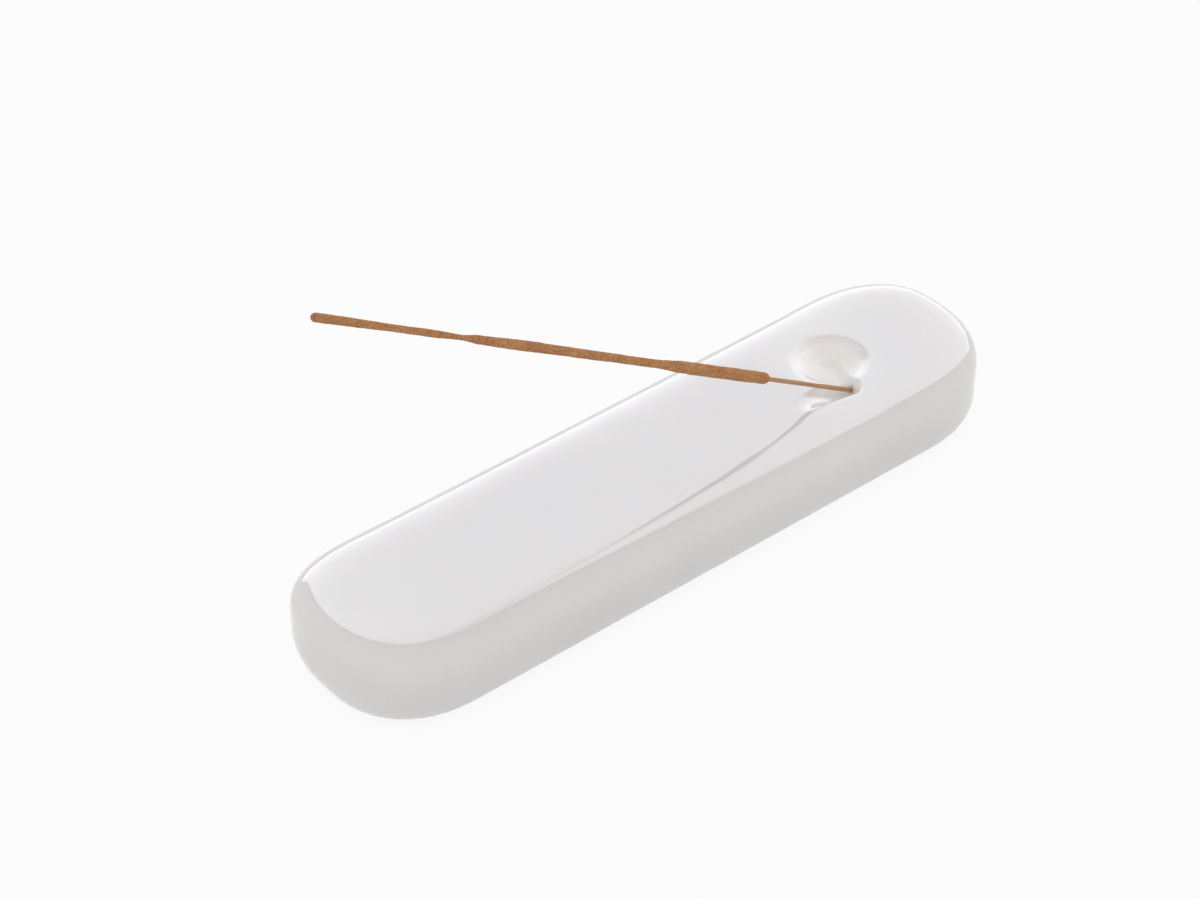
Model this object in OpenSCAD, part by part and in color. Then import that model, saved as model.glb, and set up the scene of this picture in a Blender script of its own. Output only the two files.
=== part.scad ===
// Glass-bar incense burner: a thick cast bar with a pressed ash dish and a slanting socket that
// holds one incense stick over the length of the bar.
// The bar lies along X with the dish towards +X. The origin is under the middle of the bar.

/* [Bar] */
// length of the glass bar
bar_l = 230; // [200:1:260]
// width of the glass bar
bar_w = 60; // [56:1:72]
// height of the flat top over the table
bar_h = 25; // [22:0.5:34]
// length of each rounded end
end_l = 33; // [30:1:42]
// squareness of the ends in plan, 2 is a half ellipse
end_power = 2.5; // [2:0.1:3]
// how far the top rises towards the two ends
end_lift = 2.5; // [0:0.1:3]

/* [Bar edges] */
// width of the rolled shoulder along the sides
side_shoulder_w = 16; // [12:0.5:17]
// drop of the rolled shoulder along the sides
side_shoulder_h = 9; // [7:0.5:11]
// width of the rolled shoulder round the ends
end_shoulder_w = 8; // [5:0.5:12]
// drop of the rolled shoulder round the ends
end_shoulder_h = 8; // [5:0.5:8]
// fullness of the shoulders, 2 is an ellipse
shoulder_power = 2.7; // [2:0.1:3.2]
// inset of the foot under the sides
side_foot_w = 10; // [4:0.5:12]
// height of the rounding under the sides
side_foot_h = 6; // [4:0.5:9]
// inset of the foot under the ends
end_foot_w = 7; // [4:0.5:12]
// height of the rounding under the ends
end_foot_h = 13; // [6:0.5:13]

/* [Ash dish] */
// distance of the dish from the middle of the bar
dish_x = 70; // [66:0.5:76]
// offset of the dish towards the back
dish_y = 1; // [-1:0.5:3]
// diameter of the dish where its wall leaves the lip
dish_d = 21; // [19:0.5:22]
// depth of the dish
dish_depth = 4.5; // [4:0.25:6]
// radius of the melted lip round the dish
lip_r = 1.6; // [1:0.1:2]

/* [Stick socket] */
// distance of the scoop behind the dish, against the way the stick points
scoop_dx = 9.75; // [9.5:0.25:10]
// distance of the scoop in front of the dish
scoop_dy = 12.75; // [12.5:0.25:13]
// diameter of the scoop where its wall leaves the lip
scoop_d = 10; // [9.5:0.25:10.5]
// depth of the scoop under the top
scoop_depth = 4.2; // [4:0.1:4.4]
// distance from the dish to where the stick's line meets the top, along the bar
stick_dx = 9; // [8.75:0.25:9.25]
// distance from the dish to where the stick's line meets the top, across the bar
stick_dy = 10.25; // [10:0.25:10.5]
// radius of the slanting throat that leads down to the socket
throat_r = 4.2; // [4:0.1:4.4]
// length of the throat under the top, measured to the centre of its ball nose
throat_l = 4.7; // [4.5:0.1:4.9]
// radius of the round channel that joins the throat to the dish
channel_r = 4.3; // [4.2:0.1:4.5]
// length of the drilled socket
socket_l = 12; // [8:0.5:16]
// rise of the socket and its stick over the level
socket_rise = 31; // [28:1:36]
// turn of the socket out of the line of the bar
socket_turn = 3; // [0:0.5:5]
// running gap round the splint in the socket
socket_gap = 0.08; // [0.05:0.01:0.1]
// gap left under the end of the splint
seat_gap = 0.05; // [0.02:0.01:0.1]

/* [Incense stick] */
// diameter of the bamboo splint
splint_d = 1.4; // [1.2:0.05:1.8]
// length of the stick that stands clear of the socket
stick_out_l = 208.5; // [180:0.5:215]
// bare splint between the socket and the incense
bare_l = 36.5; // [25:0.5:50]
// mean diameter of the incense
paste_d = 2.6; // [2.3:0.1:3.4]
// how much the hand-rolled incense swells and narrows
paste_swell = 1; // [0.4:0.1:1.2]

/* [Which part] */
// the sub-part that is drawn

/* [Hidden] */
$fn = 96;

// mesh of the bar: steps in each quarter end, along the straight sides, and up the two roundings
END_STEPS = 16;
SIDE_STEPS = 10;
FOOT_STEPS = 6;
SHOULDER_STEPS = 9;
LIFT_POWER = 6;
straight_x = bar_l / 2 - end_l;

// the top at the dish, with a little over so that the melted lips stay clear of it
LIP_OVER = 0.1;
CUT_OVER = 6;
BOWL_STEPS = 14;
LIP_STEPS = 6;
pit_top = top_z(dish_x + dish_d / 2 + lip_r) + LIP_OVER;
scoop_at = [dish_x - scoop_dx, dish_y - scoop_dy, pit_top];

// where the stick's line meets the top, and how far down it the socket's mouth lies
stick_at = [dish_x - stick_dx, dish_y - stick_dy, pit_top];
MOUTH_SINK = 0.2;
mouth_reach = throat_l + throat_r - MOUTH_SINK;

// the channel runs level from over the throat's ball nose to the middle of the dish
CHANNEL_RISE = 0.4;
nose_run = throat_l * cos(socket_rise);
channel_from = stick_at + [nose_run * cos(socket_turn), -nose_run * sin(socket_turn), CHANNEL_RISE];
channel_dx = dish_x - channel_from[0];
channel_dy = dish_y - channel_from[1];
MOUTH_OVER = 3;

// the incense: swelling along its length, from the end nearest the glass to the tip
coat_l = stick_out_l - bare_l;
COAT_STEPS = 60;
COAT_END = 1.6;
CORE_OVER = 1;
swell = [[0, 0.32], [0.08, 0.38], [0.2, 0.36], [0.27, -0.06], [0.34, -0.04], [0.48, 0.04],
    [0.57, 0.14], [0.66, -0.04], [0.7, -0.42], [0.76, -0.2], [0.84, -0.22], [0.94, -0.06], [1, 0]];

function sgn_pow(v, p) = sign(v) * pow(abs(v), p);
function end_share(t) = pow(cos(t), 2);
function mix(a, b, s) = a + (b - a) * s;
function top_z(x) = bar_h + end_lift * pow(abs(x) / (bar_l / 2), LIFT_POWER);

// one plan station: [which straight end it is measured from, angle round the outline]
plan = concat(
    [for (i = [0:END_STEPS - 1]) [1, 90 * i / END_STEPS]],
    [for (i = [0:SIDE_STEPS - 1]) [1 - 2 * i / SIDE_STEPS, 90]],
    [for (i = [0:END_STEPS - 1]) [-1, 90 + 90 * i / END_STEPS]],
    [for (i = [0:END_STEPS - 1]) [-1, 180 + 90 * i / END_STEPS]],
    [for (i = [0:SIDE_STEPS - 1]) [-1 + 2 * i / SIDE_STEPS, 270]],
    [for (i = [0:END_STEPS - 1]) [1, 270 + 90 * i / END_STEPS]]);

// rows of the side wall from the foot up: [inset share, height share, is on the shoulder]
foot_rows = [for (i = [0:FOOT_STEPS]) let (a = 90 * i / FOOT_STEPS) [1 - sin(a), 1 - cos(a), false]];
shoulder_rows = [for (i = [0:SHOULDER_STEPS]) let (a = 90 * i / SHOULDER_STEPS, p = 2 / shoulder_power)
    [1 - pow(cos(a), p), pow(sin(a), p), true]];
rows = concat(foot_rows, shoulder_rows);

function row_inset(r, w_foot, w_shoulder) = r[0] * (r[2] ? w_shoulder : w_foot);
function row_z(r, t) = r[2]
    ? bar_h - (1 - r[1]) * mix(side_shoulder_h, end_shoulder_h, end_share(t))
    : r[1] * mix(side_foot_h, end_foot_h, end_share(t));
function wall_point(r, s) = let (
        t = s[1],
        x = s[0] * straight_x
            + sgn_pow(cos(t), 2 / end_power) * (end_l - row_inset(r, end_foot_w, end_shoulder_w)),
        y = sgn_pow(sin(t), 2 / end_power) * (bar_w / 2 - row_inset(r, side_foot_w, side_shoulder_w)),
        z = row_z(r, t))
    [x, y, r[2] ? z + (top_z(x) - bar_h) * z / bar_h : z];

module bar_form() {
    n = len(plan);
    top = (len(rows) - 1) * n;
    points = [for (r = rows) for (s = plan) wall_point(r, s)];
    walls = [for (j = [0:len(rows) - 2]) for (i = [0:n - 1])
        let (a = j * n + i, b = j * n + (i + 1) % n)
        each [[a, a + n, b], [b, a + n, b + n]]];
    foot = [[for (i = [0:n - 1]) i]];
    deck = [for (i = [0:n / 2 - 1])
        let (a = top + i, b = top + i + 1, c = top + n - i - 1, d = top + (n - i) % n)
        each (i == 0 ? [[a, c, b]] : c == b ? [[a, d, b]] : [[a, d, b], [b, d, c]])];
    polyhedron(points, concat(walls, foot, deck), convexity = 4);
}

// a pit with a round bottom: a ball meets the lip, a small circle, on a common tangent
module lipped_pit(r, depth) {
    ball_r = (r * r + depth * depth) / (2 * depth);
    ball_z = ball_r - depth;
    lip_x = sqrt(pow(ball_r + lip_r, 2) - pow(ball_z + lip_r, 2));
    turn = atan2(lip_x, ball_z + lip_r);
    bowl = [for (i = [0:BOWL_STEPS]) let (a = turn * i / BOWL_STEPS)
        [ball_r * sin(a), ball_z - ball_r * cos(a)]];
    lip = [for (i = [LIP_STEPS - 1:-1:0]) let (a = turn * i / LIP_STEPS)
        [lip_x - lip_r * sin(a), lip_r * (cos(a) - 1)]];
    rotate_extrude() polygon(concat(bowl, lip, [[lip_x, CUT_OVER], [0, CUT_OVER]]));
}

// turns its children so that +Z runs up along the stick
module stick_turn() {
    rotate([0, 0, -socket_turn]) rotate([0, socket_rise - 90, 0]) children();
}

// puts its children on the stick's line, with 0 at the mouth of the socket
module on_stick_line() {
    translate(stick_at) stick_turn() translate([0, 0, -mouth_reach]) children();
}

module channel_cut() {
    translate(channel_from)
        rotate([0, 90, atan2(channel_dy, channel_dx)])
            cylinder(h = norm([channel_dx, channel_dy]), r = channel_r);
}

// the throat: a ball nose on a shaft, pushed in along the stick's line
module throat_cut() {
    translate(stick_at)
        stick_turn()
            translate([0, 0, -throat_l])
                rotate_extrude()
                    union() {
                        intersection() {
                            circle(throat_r);
                            translate([0, -throat_r]) square(throat_r);
                        }
                        square([throat_r, throat_l + 2 * CUT_OVER]);
                    }
}

module socket_cut() {
    on_stick_line()
        translate([0, 0, -socket_l]) cylinder(h = socket_l + MOUTH_OVER, d = splint_d + 2 * socket_gap);
}

module glass_bar() {
    color([0.90, 0.90, 0.90])
        difference() {
            bar_form();
            translate([dish_x, dish_y, pit_top]) lipped_pit(dish_d / 2, dish_depth);
            translate(scoop_at) lipped_pit(scoop_d / 2, scoop_depth);
            channel_cut();
            throat_cut();
            socket_cut();
        }
}

module bamboo_splint() {
    color([0.72, 0.50, 0.30])
        on_stick_line()
            translate([0, 0, seat_gap - socket_l])
                cylinder(h = socket_l - seat_gap + stick_out_l - COAT_END, d = splint_d);
}

// radius of the incense at a share of its length, eased between the listed swellings
function swell_at(s, i = 0) = s <= swell[i + 1][0] || i == len(swell) - 2
    ? let (f = (s - swell[i][0]) / (swell[i + 1][0] - swell[i][0]))
        mix(swell[i][1], swell[i + 1][1], (1 - cos(180 * f)) / 2)
    : swell_at(s, i + 1);
function coat_round(z) = let (e = min(z, coat_l - z) / COAT_END) e >= 1 ? 1 : sqrt(1 - pow(1 - e, 2));
function coat_r(z) = splint_d / 2
    + (paste_d * (1 + paste_swell * swell_at(z / coat_l)) - splint_d) / 2 * coat_round(z);

module incense_coating() {
    color([0.70, 0.46, 0.27])
        on_stick_line()
            translate([0, 0, bare_l])
                difference() {
                    rotate_extrude()
                        polygon(concat([[0, 0]],
                            [for (i = [0:COAT_STEPS]) let (z = coat_l * i / COAT_STEPS) [coat_r(z), z]],
                            [[0, coat_l]]));
                    translate([0, 0, -CORE_OVER])
                        cylinder(h = coat_l + CORE_OVER - COAT_END, d = splint_d);
                }
}

glass_bar();
bamboo_splint();
incense_coating();
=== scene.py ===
from math import cos, pi, radians, sin, sqrt, tan

import bmesh
import bpy
import numpy as np
from mathutils import Matrix, Vector, noise


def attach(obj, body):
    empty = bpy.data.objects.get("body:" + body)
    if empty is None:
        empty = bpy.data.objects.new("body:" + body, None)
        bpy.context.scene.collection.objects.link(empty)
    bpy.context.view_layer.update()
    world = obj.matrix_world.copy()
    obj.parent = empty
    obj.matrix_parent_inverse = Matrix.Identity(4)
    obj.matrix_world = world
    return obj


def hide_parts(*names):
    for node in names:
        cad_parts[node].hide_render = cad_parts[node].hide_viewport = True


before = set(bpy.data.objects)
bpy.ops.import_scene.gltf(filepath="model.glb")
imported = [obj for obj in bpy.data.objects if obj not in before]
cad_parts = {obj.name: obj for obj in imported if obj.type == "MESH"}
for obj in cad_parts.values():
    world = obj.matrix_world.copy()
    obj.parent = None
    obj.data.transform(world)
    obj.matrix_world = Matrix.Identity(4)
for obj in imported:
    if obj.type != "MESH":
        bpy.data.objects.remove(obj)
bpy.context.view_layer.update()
mm = 0.001
print("frame loaded:", ", ".join(sorted(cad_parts)))


# hex colour as a paint chart gives it, turned to the linear values that shaders take
def hexColour(code):
    values = [int(code[i:i + 2], 16) / 255 for i in (1, 3, 5)]
    return [v / 12.92 if v <= 0.04045 else ((v + 0.055) / 1.055) ** 2.4 for v in values] + [1.0]


# adds one node: inputs take a value, or a (node, output) pair to link from; ramp takes the colour
# stops as (place, hex colour); the rest are node settings
def addNode(tree, kind, inputs=None, ramp=(), **settings):
    node = tree.nodes.new(kind)
    for name, value in settings.items():
        setattr(node, name, value)
    if ramp:
        elements = node.color_ramp.elements
        while len(elements) < len(ramp):
            elements.new(0.5)
        for element, (place, code) in zip(elements, ramp):
            element.position, element.color = place, hexColour(code)
    for name, value in (inputs or {}).items():
        if isinstance(value, tuple):
            tree.links.new(value[0].outputs[value[1]], node.inputs[name])
        else:
            node.inputs[name].default_value = value
    return node


def newMaterial(name):
    material = bpy.data.materials.new(name)
    material.use_nodes = True
    material.node_tree.nodes.clear()
    return material, material.node_tree


def newObject(name, points, faces, material=None):
    mesh = bpy.data.meshes.new(name)
    mesh.from_pydata(points, [], faces)
    if material:
        mesh.materials.append(material)
    made = bpy.data.objects.new(name, mesh)
    bpy.context.scene.collection.objects.link(made)
    return made


def newPiece(name, points, faces, material, body, node):
    piece = newObject(name, points, faces, material)
    piece.data.validate()
    piece.data.shade_smooth()
    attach(piece, body)
    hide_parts(node)
    return piece


bar = {  # millimetres and degrees
    "length": 230, "width": 60, "height": 25, "endLength": 33, "endPower": 2.5,
    "endLift": 2.5, "liftPower": 6,
    # roundings as (inset, height)
    "sideShoulder": (16, 9), "endShoulder": (8, 8), "shoulderPower": 2.7,
    "sideFoot": (10, 6), "endFoot": (7, 13),
    "dish": (70, 1), "dishRadius": 10.4, "dishDepth": 3.5, "dishPower": 2.4,
    "throat": (60.4, -10.3), "throatRadius": 4.0, "throatLength": 5.2, "throatRise": 25,
    "channelRadius": 4.2, "channelRise": 0.8,
    "dishLip": 2.6, "scoopLip": 2.8,  # how widely the lips are melted
    "soften": 1.6,  # how widely neighbouring hollows melt into each other
    "cutClimb": 3,  # how steeply a round cut climbs past its edge
    "hollowsAbove": 0.6,  # share of the height over which the hollows are cut
    "fine": 0.4, "fineReach": 24,  # mesh spacing at the dish, and how far past it that goes
    # rows up the wall, the steep ones as far as steepAngle, and columns round the outline
    "footRows": 17, "steepRows": 17, "steepAngle": 52, "flatRows": 32,
    "dishEndColumns": 97, "plainColumns": 70, "farEndColumns": 65,
    # the scoop and dish colours are a painted glow: lighter tints in the hollows stand in for light glowing
    # through the glass
    "milkDeep": "#DFDDDD", "milkThin": "#E3E1E0", "dishPaintedGlow": "#F6F2EE", "hollowPaintedGlow": "#FFFAF6",
    "cloud": 34,  # width of the milky clouds
    "roughness": 0.075, "scoopRoughness": 0.15, "dishRoughness": 0.45,
    "smear": 9, "smearGain": 1.6,  # width of the wiped patches, and how much duller they get
    "soak": 1.0, "reach": 16,  # share and reach of the light that goes in
    "waveLength": 30, "waveHeight": 0.012,
    # in the hollows the tint is that painted glow; the same masks also set the hollows' duller gloss
    "maskGain": 1.4,  # over 1, the tint of a hollow is full before its deepest point
}


# opal glass, cast and fire-polished: a milky body that light soaks into, under a clear wet gloss
# with the slow waves that a cooling skin leaves; the hollows get a painted glow, a lighter tint in place of
# light glowing through the glass there
def makeOpalGlass():
    material, tree = newMaterial("opalGlassFirePolished")
    place = addNode(tree, "ShaderNodeTexCoord")
    cloud = addNode(tree, "ShaderNodeTexNoise", {"Vector": (place, "Object"),
        "Scale": 1 / (bar["cloud"] * mm), "Detail": 3.0, "Roughness": 0.5})
    tint = addNode(tree, "ShaderNodeValToRGB", {"Fac": (cloud, "Fac")},
        ramp=[(0.3, bar["milkDeep"]), (0.7, bar["milkThin"])])
    hollow = addNode(tree, "ShaderNodeAttribute", attribute_name="hollow")
    dish = addNode(tree, "ShaderNodeAttribute", attribute_name="dish")
    # painted glow: the hollows are tinted lighter where the glass would glow with light shining through
    tintWithPaintedGlow = addNode(tree, "ShaderNodeMix", {0: (hollow, "Fac"), 6: (tint, "Color"),
        7: hexColour(bar["hollowPaintedGlow"])}, data_type="RGBA")
    # painted glow in the dish: a lighter, warm tint standing in for light glowing through the glass under it
    tintWithPaintedGlow = addNode(tree, "ShaderNodeMix", {0: (dish, "Fac"), 6: (tintWithPaintedGlow, 2),
        7: hexColour(bar["dishPaintedGlow"])}, data_type="RGBA")
    wave = addNode(tree, "ShaderNodeTexNoise", {"Vector": (place, "Object"),
        "Scale": 1 / (bar["waveLength"] * mm), "Detail": 1.0, "Roughness": 0.4})
    bump = addNode(tree, "ShaderNodeBump", {"Height": (wave, "Fac"), "Strength": 1.0,
        "Distance": bar["waveHeight"] * mm})
    smear = addNode(tree, "ShaderNodeTexNoise", {"Vector": (place, "Object"),
        "Scale": 1 / (bar["smear"] * mm), "Detail": 4.0})
    gloss = addNode(tree, "ShaderNodeMapRange", {"Value": (smear, "Fac"), "From Min": 0.35,
        "From Max": 0.75, "To Min": bar["roughness"], "To Max": bar["roughness"] * bar["smearGain"]})
    dull = addNode(tree, "ShaderNodeMix", {0: (hollow, "Fac"), 2: (gloss, "Result"),
        3: bar["scoopRoughness"]})
    satin = addNode(tree, "ShaderNodeMix", {0: (dish, "Fac"), 2: (dull, 0), 3: bar["dishRoughness"]})
    glass = addNode(tree, "ShaderNodeBsdfPrincipled", {"Base Color": (tintWithPaintedGlow, 2),
        "Roughness": (satin, 0), "Normal": (bump, "Normal"), "IOR": 1.5,
        "Subsurface Weight": bar["soak"], "Subsurface Scale": bar["reach"] * mm,
        "Subsurface Radius": [1.0, 0.85, 0.75]})
    addNode(tree, "ShaderNodeOutputMaterial", {"Surface": (glass, "BSDF")})
    return material


def topHeight(x):
    return bar["height"] + bar["endLift"] * (abs(x) / (bar["length"] / 2)) ** bar["liftPower"]


def signPower(v, p):
    return np.sign(v) * np.abs(v) ** p


# a smooth minimum: where the two are closer than k, the edge between them melts away
def melt(a, b, k):
    h = np.maximum(k - np.abs(a - b), 0.0) / k
    return np.minimum(a, b) - h * h * k / 4


# the floor of the dish, nearly flat in the middle; it keeps climbing outside its rim so that
# neighbours can be melted together
def dishFloor(x, y):
    away = np.hypot(x - bar["dish"][0], y - bar["dish"][1]) / bar["dishRadius"]
    inside = 1 - np.clip(away, 0, 1) ** bar["dishPower"]
    return np.maximum(away - 1, 0.0) * bar["dishRadius"] - bar["dishDepth"] * inside


# a round-bottomed cut from its middle line outwards; past its edge it climbs steeply
def roundCut(distance, radius):
    climb = np.maximum(distance - radius, 0.0) * bar["cutClimb"]
    return climb - np.sqrt(np.maximum(radius ** 2 - distance ** 2, 0.0))


# how far the hollows take the top down at each point, all of them and the dish alone
def hollowDepth(x, y):
    rise, turn, nose = radians(bar["throatRise"]), radians(stick["turn"]), bar["throatLength"]
    # the throat: a ball nose pushed in beside the stick
    dx, dy = x - bar["throat"][0], y - bar["throat"][1]
    p, q = dx * cos(turn) - dy * sin(turn), dx * sin(turn) + dy * cos(turn)
    shaft = roundCut(np.abs(q), bar["throatRadius"]) / cos(rise) - p * tan(rise)
    ball = roundCut(np.hypot(p - nose * cos(rise), q), bar["throatRadius"]) - nose * sin(rise)
    scoop = np.where(p * cos(rise) - shaft * sin(rise) < nose, shaft, ball)
    # the channel from over the ball nose to the middle of the dish
    start = np.array(bar["throat"]) + nose * cos(rise) * np.array([cos(turn), -sin(turn)])
    run = np.array(bar["dish"]) - start
    length = np.hypot(*run)
    dx, dy = x - start[0], y - start[1]
    along = np.clip((dx * run[0] + dy * run[1]) / length, 0, length) / length
    channel = roundCut(np.hypot(dx - along * run[0], dy - along * run[1]), bar["channelRadius"])
    scoop = melt(scoop, channel + bar["channelRise"], bar["soften"])
    # both hollows run out into the level top, and add up so that neither leaves a crease
    level = np.zeros_like(x)
    scoop, dish = melt(scoop, level, bar["scoopLip"]), melt(dishFloor(x, y), level, bar["dishLip"])
    return np.cbrt((-scoop) ** 3 + (-dish) ** 3), -dish


# rows of the wall from the foot up, as (inset share, height share, is on the shoulder); the
# shoulder is stepped by angle in its steep part and evenly in its flat part
def wallRows():
    foot = [(1 - sin(a), 1 - cos(a), False) for a in np.linspace(0, pi / 2, bar["footRows"])]
    n = bar["shoulderPower"]
    angles = np.linspace(0, radians(bar["steepAngle"]), bar["steepRows"])
    steep = [(1 - cos(a) ** (2 / n), sin(a) ** (2 / n), True) for a in angles]
    left = np.linspace(1 - steep[-1][0], 0, bar["flatRows"])[1:]
    flat = [(1 - v, (1 - v ** n) ** (1 / n), True) for v in left]
    return foot + steep + flat


# stations of half the outline, from the +X tip to the -X tip, as (straight share, angle); they
# crowd together over the dish
def outlineStations():
    straight = bar["length"] / 2 - bar["endLength"]
    fineEnd = bar["dish"][0] - bar["fineReach"]
    xs = np.concatenate([np.arange(straight, fineEnd, -bar["fine"]),
                         np.linspace(fineEnd, -straight, bar["plainColumns"])])
    end = [(1.0, a) for a in np.linspace(0, pi / 2, bar["dishEndColumns"])[:-1]]
    side = [(x / straight, pi / 2) for x in xs]
    tail = [(-1.0, a) for a in np.linspace(pi / 2, pi, bar["farEndColumns"])[1:]]
    return end + side + tail


# the bar is one sheet of points that runs up the near wall, over the top and down the far wall
def buildBar(material):
    rows, stations = wallRows(), outlineStations()
    share = np.array([s[0] for s in stations])
    angle = np.array([s[1] for s in stations])
    endness = np.cos(angle) ** 2
    power = 2 / bar["endPower"]
    reach, half = signPower(np.cos(angle), power), np.abs(np.sin(angle)) ** power
    straight = bar["length"] / 2 - bar["endLength"]
    grid = []
    for inset, height, shoulder in rows:
        (sw, sh), (ew, eh) = (bar["sideShoulder"], bar["endShoulder"]) if shoulder else (
            bar["sideFoot"], bar["endFoot"])
        rise = sh + (eh - sh) * endness
        z = bar["height"] - (1 - height) * rise if shoulder else height * rise
        x = share * straight + reach * (bar["endLength"] - inset * ew)
        y = half * (bar["width"] / 2 - inset * sw)
        if shoulder:
            z = z + (topHeight(x) - bar["height"]) * z / bar["height"]
        grid.append(np.stack([x, y, z], 1))
    wall = np.array(grid)
    deckColumns = int(2 * (bar["width"] / 2 - bar["sideShoulder"][0]) / bar["fine"])
    across = np.linspace(1, -1, deckColumns + 1)[1:-1]
    rim = wall[-1]
    deck = np.stack([np.stack([rim[:, 0], rim[:, 1] * v, rim[:, 2]], 1) for v in across])
    sheet = np.concatenate([wall, deck, wall[::-1] * [1, -1, 1]])
    top = sheet[:, :, 2] > bar["height"] * bar["hollowsAbove"]
    depth, dish = (np.where(top, d, 0) for d in hollowDepth(sheet[:, :, 0], sheet[:, :, 1]))
    sheet[:, :, 2] -= depth
    nRows, nCols = sheet.shape[:2]
    faces = []
    for j in range(nRows - 1):
        for i in range(nCols - 1):
            a = j * nCols + i
            faces.append((a, a + nCols, a + nCols + 1, a + 1))
    # the flat foot closes the sheet between its first and last rows
    last = (nRows - 1) * nCols
    faces += [(i, i + 1, last + i + 1, last + i) for i in range(nCols - 1)]
    points = (sheet.reshape(-1, 3) * mm).tolist()
    piece = newPiece("glassBar", points, faces, material, "holder", "glass_bar")
    # the hollow and dish masks carry the painted glow of the hollows as well as their duller gloss
    for name, mask in (("hollow", depth), ("dish", dish)):
        tinted = np.clip(bar["maskGain"] * mask / bar["dishDepth"], 0, 1).astype(np.float32)
        piece.data.attributes.new(name, "FLOAT", "POINT").data.foreach_set("value", tinted.ravel())
    weld(piece)
    drillSocket(piece)
    return piece


def weld(piece):
    work = bmesh.new()
    work.from_mesh(piece.data)
    bmesh.ops.remove_doubles(work, verts=work.verts, dist=0.002 * mm)
    bmesh.ops.recalc_face_normals(work, faces=work.faces)
    work.to_mesh(piece.data)
    work.free()


# the bore that the splint stands in, cut along the stick's line
def drillSocket(piece):
    radius = stick["socketRadius"]
    rings = [(-stick["socket"], radius, 0, 0), (stick["socketOver"], radius, 0, 0)]
    drill = newObject("socketDrill", *tube(rings, stick["socketSides"], lambda a, z: 1))
    cut = piece.modifiers.new("socket", "BOOLEAN")
    cut.object, cut.operation, cut.solver = drill, "DIFFERENCE", "EXACT"
    bpy.context.view_layer.update()
    made = bpy.data.meshes.new_from_object(piece.evaluated_get(bpy.context.evaluated_depsgraph_get()))
    piece.modifiers.clear()
    piece.data = made
    bpy.data.objects.remove(drill)


stick = {  # millimetres and degrees
    "start": (61, -9.25, 25.430988),  # a point on its line, mouthReach up the stick from the mouth
    "rise": 31, "turn": 3, "mouthReach": 8.7,
    "out": 208.5,  # from the mouth to the tip
    "socket": 12, "socketRadius": 0.74, "seatGap": 0.05,
    "socketOver": 3, "socketSides": 32,  # how far the drill stands clear of the mouth, and its faces round
}


# the stick's own axes: +Z up the stick, 0 at the mouth of the socket
def stickMatrix():
    start = Matrix.Translation(Vector(stick["start"]) * mm)
    lean = Matrix.Rotation(radians(stick["rise"] - 90), 4, "Y")
    turn = Matrix.Rotation(-radians(stick["turn"]), 4, "Z") @ lean
    return start @ turn @ Matrix.Translation(Vector((0, 0, -stick["mouthReach"])) * mm)


# a closed tube round the stick's axis: rings of (height, radius, offset x, offset y)
def tube(rings, sides, roundness):
    points, faces = [], []
    place = stickMatrix()
    for z, r, ox, oy in rings:
        for i in range(sides):
            a = 2 * pi * i / sides
            q = r * roundness(a, z)
            points.append(place @ (Vector((ox + q * cos(a), oy + q * sin(a), z)) * mm))
    for j in range(len(rings) - 1):
        for i in range(sides):
            a, b = j * sides + i, j * sides + (i + 1) % sides
            faces.append((a, b, b + sides, a + sides))
    faces.append(tuple(range(sides - 1, -1, -1)))
    faces.append(tuple(range((len(rings) - 1) * sides, len(rings) * sides)))
    return points, faces


splint = {  # millimetres
    "radius": 0.7, "tipInset": 1.6, "step": 0.6, "sides": 28,
    "insidePaste": 3,  # how far up inside the paste the splint keeps its wander
    "fibreWidth": 0.16, "fibreLength": 14, "fibreDepth": 0.05,
    "vessel": "#7E4F2C", "fibre": "#BA8A5B", "pale": "#D2AA7E",
}


# moso bamboo, split and scraped: straight pale fibres with thin darker vessels, a dull satin
def makeBamboo():
    material, tree = newMaterial("bambooSplitScraped")
    place = addNode(tree, "ShaderNodeTexCoord")
    along = addNode(tree, "ShaderNodeMapping", {"Vector": (place, "UV"),
        "Scale": [1 / splint["fibreWidth"], 1 / splint["fibreLength"], 1.0]})
    fibre = addNode(tree, "ShaderNodeTexNoise", {"Vector": (along, "Vector"), "Scale": 1.0, "Detail": 4.0})
    tint = addNode(tree, "ShaderNodeValToRGB", {"Fac": (fibre, "Fac")},
        ramp=[(0.3, splint["vessel"]), (0.5, splint["fibre"]), (0.75, splint["pale"])])
    bump = addNode(tree, "ShaderNodeBump", {"Height": (fibre, "Fac"), "Strength": 0.6,
        "Distance": splint["fibreDepth"] * mm})
    wood = addNode(tree, "ShaderNodeBsdfPrincipled", {"Base Color": (tint, "Color"), "Roughness": 0.55,
        "Normal": (bump, "Normal"), "IOR": 1.5})
    addNode(tree, "ShaderNodeOutputMaterial", {"Surface": (wood, "BSDF")})
    return material


# a split splint keeps faint flats and a little wander in them
def splitSection(a, z):
    return 0.95 + 0.045 * cos(5 * a + 0.02 * z) * cos(2 * a)


def buildSplint(material):
    low, high = stick["seatGap"] - stick["socket"], stick["out"] - splint["tipInset"]
    bareEnd = coating["bare"] + splint["insidePaste"]
    rings = [(z, splint["radius"], 0, 0) for z in np.arange(low, bareEnd, splint["step"])]
    rings.append((high, splint["radius"], 0, 0))
    points, faces = tube(rings, splint["sides"], splitSection)
    piece = newPiece("bambooSplint", points, faces, material, "stick", "bamboo_splint")
    layer = piece.data.uv_layers.new(name="fibre")
    back = stickMatrix().inverted()
    for loop in piece.data.loops:
        local = back @ piece.data.vertices[loop.vertex_index].co / mm
        layer.data[loop.index].uv = (abs(np.arctan2(local.y, local.x)) * splint["radius"], local.z)
    return piece


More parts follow.
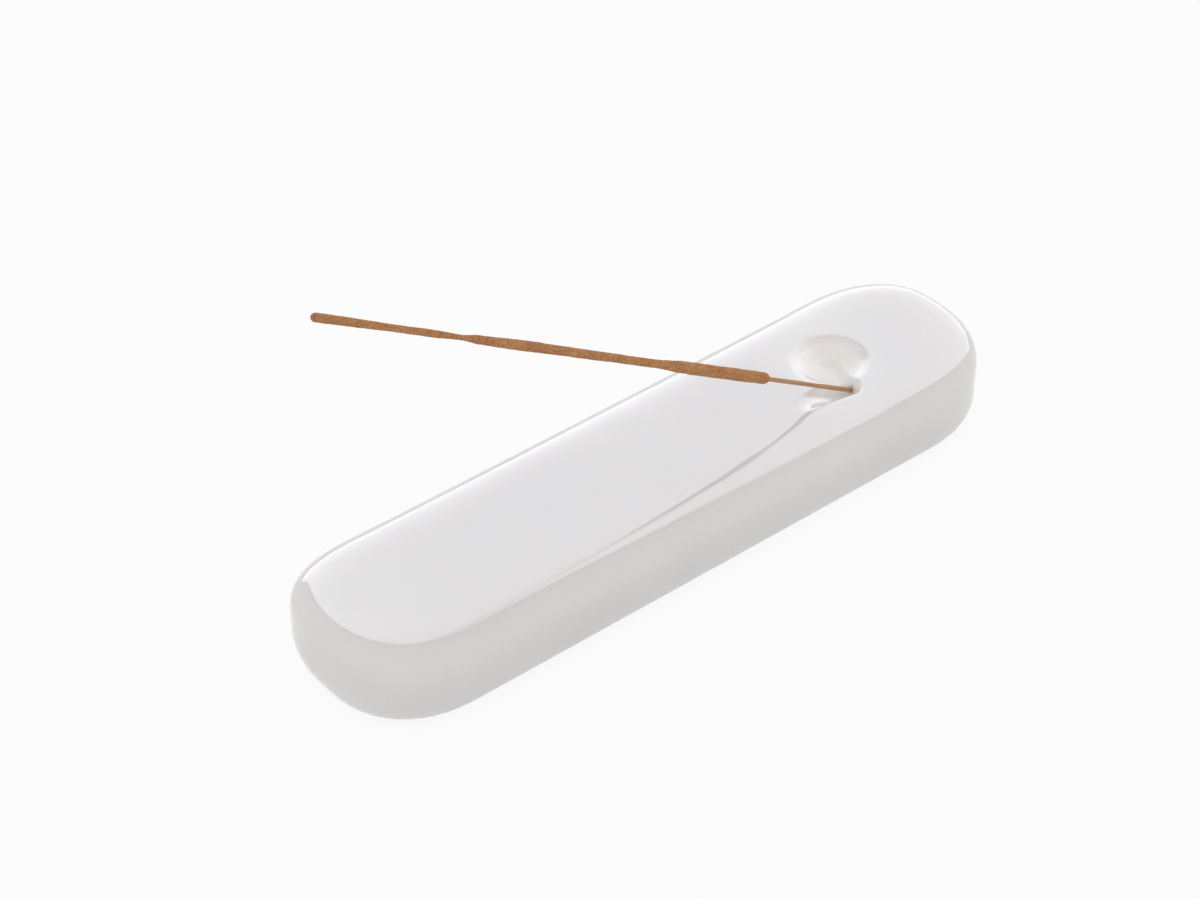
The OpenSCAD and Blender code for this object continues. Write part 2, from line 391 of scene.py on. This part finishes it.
coating = {  # millimetres
    "bare": 36.5, "diameter": 2.6, "endLength": 1.6, "step": 0.3, "sides": 40,
    "core": 0.9,  # the ends close at this share of the splint's radius
    "wander": 0.12, "wanderLengths": (23, 19), "wanderSeeds": (1.7, 7.1),
    # swellings as (share of the length, share of the radius)
    "swell": [(0, 0.32), (0.08, 0.38), (0.2, 0.36), (0.27, -0.06), (0.34, -0.04), (0.48, 0.04),
              (0.57, 0.14), (0.66, -0.04), (0.7, -0.42), (0.76, -0.2), (0.84, -0.22), (0.94, -0.06), (1, 0)],
    "grit": 0.55,  # real powder is about 0.2 mm; this coarse it still shows
    "gritDepth": 0.25, "patch": 6,
    "shade": "#976039", "powder": "#BF895A", "bright": "#D5A373",
    "patchDark": "#C9A78C", "patchLight": "#FFFFFF",
}


# incense paste, rolled on by hand and dusted with wood powder: a dry, dead-matt, sandy crust
def makePaste():
    material, tree = newMaterial("incensePasteHandRolled")
    place = addNode(tree, "ShaderNodeTexCoord")
    grit = addNode(tree, "ShaderNodeTexNoise", {"Vector": (place, "Object"),
        "Scale": 1 / (coating["grit"] * mm), "Detail": 3.0, "Roughness": 0.7})
    patch = addNode(tree, "ShaderNodeTexNoise", {"Vector": (place, "Object"),
        "Scale": 1 / (coating["patch"] * mm), "Detail": 3.0})
    grain = addNode(tree, "ShaderNodeValToRGB", {"Fac": (grit, "Fac")},
        ramp=[(0.32, coating["shade"]), (0.5, coating["powder"]), (0.68, coating["bright"])])
    worn = addNode(tree, "ShaderNodeValToRGB", {"Fac": (patch, "Fac")},
        ramp=[(0.35, coating["patchDark"]), (0.65, coating["patchLight"])])
    colour = addNode(tree, "ShaderNodeMix", {0: 0.35, 6: (grain, "Color"), 7: (worn, "Color")},
        data_type="RGBA", blend_type="MULTIPLY")
    bump = addNode(tree, "ShaderNodeBump", {"Height": (grit, "Fac"), "Strength": 0.9,
        "Distance": coating["gritDepth"] * mm})
    paste = addNode(tree, "ShaderNodeBsdfPrincipled", {"Base Color": (colour, 2), "Roughness": 0.95,
        "IOR": 1.4, "Normal": (bump, "Normal")})
    addNode(tree, "ShaderNodeOutputMaterial", {"Surface": (paste, "BSDF")})
    return material


def swellAt(s):
    listed = coating["swell"]
    for (s0, v0), (s1, v1) in zip(listed, listed[1:]):
        if s <= s1:
            f = (s - s0) / (s1 - s0)
            return v0 + (v1 - v0) * (1 - cos(pi * f)) / 2
    return listed[-1][1]


# finger lumps, small lumps and grains on the skin of the paste
def lumpySection(a, z):
    p = Vector((cos(a) * 1.2, sin(a) * 1.2, z))
    return 0.97 + 0.05 * noise.noise(p / 2.2) + 0.045 * noise.noise(p * 1.6) + 0.03 * noise.noise(p * 4.5)


def buildCoating(material):
    length, step = stick["out"] - coating["bare"], coating["step"]
    rings = []
    for z in np.arange(0, length + step / 2, step):
        z = min(z, length)
        e = min(1.0, max(min(z, length - z), 0.02) / coating["endLength"])
        full = coating["diameter"] / 2 * (1 + swellAt(z / length))
        core = splint["radius"] * coating["core"]
        r = core + (full - core) * sqrt(1 - (1 - e) ** 2)
        ox, oy = (coating["wander"] * noise.noise(Vector((z / long, seed, 0)))
                  for long, seed in zip(coating["wanderLengths"], coating["wanderSeeds"]))
        rings.append((z + coating["bare"], r, ox, oy))
    points, faces = tube(rings, coating["sides"], lumpySection)
    return newPiece("incenseCoating", points, faces, material, "stick", "incense_coating")


glassBar = buildBar(makeOpalGlass())
print("glass bar:", len(glassBar.data.vertices), "points")
bambooSplint = buildSplint(makeBamboo())
print("splint:", len(bambooSplint.data.vertices), "points")
incenseCoating = buildCoating(makePaste())
print("incense:", len(incenseCoating.data.vertices), "points")

studio = {
    "background": "#FAFAFA", "floorPaint": "#FAFAFA",
    "floorGlow": 0.93, "floorFaint": "#5C5C5C",  # glow keeps the seen floor pale, faint paint takes the shadow
    "floorHalf": 6,  # metres
    "plainLevel": 0.8, "plainColour": "#FFFFFF",
    # corners of the scrim and its rail as (x, y, height), in metres
    "scrim": [(0.30, 2.6, 0.158), (0.35, 0.38, 1.046), (0.88, -0.19, 1.274), (4.0, -0.19, 1.274),
              (4.0, 1.4, 0.64), (2.4, 2.6, 0.158)],
    "frame": [(0.30, 2.6, 0.158), (0.35, 0.38, 1.046), (0.88, -0.19, 1.274), (4.0, -0.19, 1.274),
              (4.0, -0.24, 1.294), (0.86, -0.24, 1.294), (0.31, 0.35, 1.058), (0.26, 2.6, 0.158)],
    "scrimColour": "#F3F6FF", "scrimLevel": 3.9,
}


# 1 for what the camera sees straight or through gloss and glass, 0 for light that falls on a surface
def seenRays(tree):
    ray = addNode(tree, "ShaderNodeLightPath")
    gloss = addNode(tree, "ShaderNodeMath", {0: (ray, "Is Camera Ray"), 1: (ray, "Is Glossy Ray")},
        operation="MAXIMUM")
    return addNode(tree, "ShaderNodeMath", {0: (gloss, "Value"), 1: (ray, "Is Transmission Ray")},
        operation="MAXIMUM")


def buildWorld():
    world = bpy.data.worlds.new("paleRoom")
    bpy.context.scene.world = world
    world.use_nodes = True
    tree = world.node_tree
    tree.nodes.clear()
    seen = seenRays(tree)
    lit = addNode(tree, "ShaderNodeBackground", {"Strength": studio["plainLevel"],
        "Color": hexColour(studio["plainColour"])})
    back = addNode(tree, "ShaderNodeBackground", {"Strength": 1.0, "Color": hexColour(studio["background"])})
    mix = addNode(tree, "ShaderNodeMixShader", {0: (seen, "Value"), 1: (lit, "Background"),
        2: (back, "Background")})
    addNode(tree, "ShaderNodeOutputWorld", {"Surface": (mix, "Shader")})


# smooth pale vinyl sweep: an even near-white that still takes the bar's soft shadow
def buildFloor():
    material, tree = newMaterial("vinylSweepMatt")
    seen = seenRays(tree)
    paint = addNode(tree, "ShaderNodeBsdfDiffuse", {"Color": hexColour(studio["floorPaint"])})
    glow = addNode(tree, "ShaderNodeEmission", {"Color": hexColour(studio["background"]),
        "Strength": studio["floorGlow"]})
    faint = addNode(tree, "ShaderNodeBsdfDiffuse", {"Color": hexColour(studio["floorFaint"])})
    shown = addNode(tree, "ShaderNodeAddShader", {0: (glow, "Emission"), 1: (faint, "BSDF")})
    both = addNode(tree, "ShaderNodeMixShader", {0: (seen, "Value"), 1: (paint, "BSDF"),
        2: (shown, "Shader")})
    addNode(tree, "ShaderNodeOutputMaterial", {"Surface": (both, "Shader")})
    material.cycles.emission_sampling = "NONE"
    h = studio["floorHalf"]
    corners = [(-h, -h, 0), (h, -h, 0), (h, h, 0), (-h, h, 0)]
    newObject("studioFloor", corners, [(0, 1, 2, 3)], material)


# a lit scrim that leans over the bar from behind, and the black rail along its near edges; only
# gloss shows them
def buildScrim():
    for name, level in (("scrim", studio["scrimLevel"]), ("frame", 0)):
        material, tree = newMaterial(name + "Cloth")
        glow = addNode(tree, "ShaderNodeEmission", {"Color": hexColour(studio["scrimColour"]),
            "Strength": level})
        addNode(tree, "ShaderNodeOutputMaterial", {"Surface": (glow, "Emission")})
        material.cycles.emission_sampling = "NONE"
        panel = newObject(name, studio[name], [tuple(range(len(studio[name])))], material)
        panel.visible_camera = panel.visible_diffuse = panel.visible_shadow = False


bpy.context.scene.view_settings.view_transform = "Standard"
buildWorld()
buildFloor()
buildScrim()
print("studio: world, floor and scrim")

camera = {  # degrees, metres, and the lens in millimetres
    "azimuth": -39.4, "elevation": 39.4, "distance": 0.997, "target": (-0.0173, 0, 0.0374), "lens": 108,
}


def buildCamera():
    a, e = radians(camera["azimuth"]), radians(camera["elevation"])
    back = Vector((sin(a) * cos(e), -cos(a) * cos(e), sin(e)))
    lens = bpy.data.cameras.new("studioCamera")
    lens.lens = camera["lens"]
    view = bpy.data.objects.new("studioCamera", lens)
    view.location = Vector(camera["target"]) + back * camera["distance"]
    view.rotation_euler = (-back).to_track_quat("-Z", "Y").to_euler()
    bpy.context.scene.collection.objects.link(view)
    bpy.context.scene.camera = view


buildCamera()
print("camera:", camera["lens"], "mm lens")
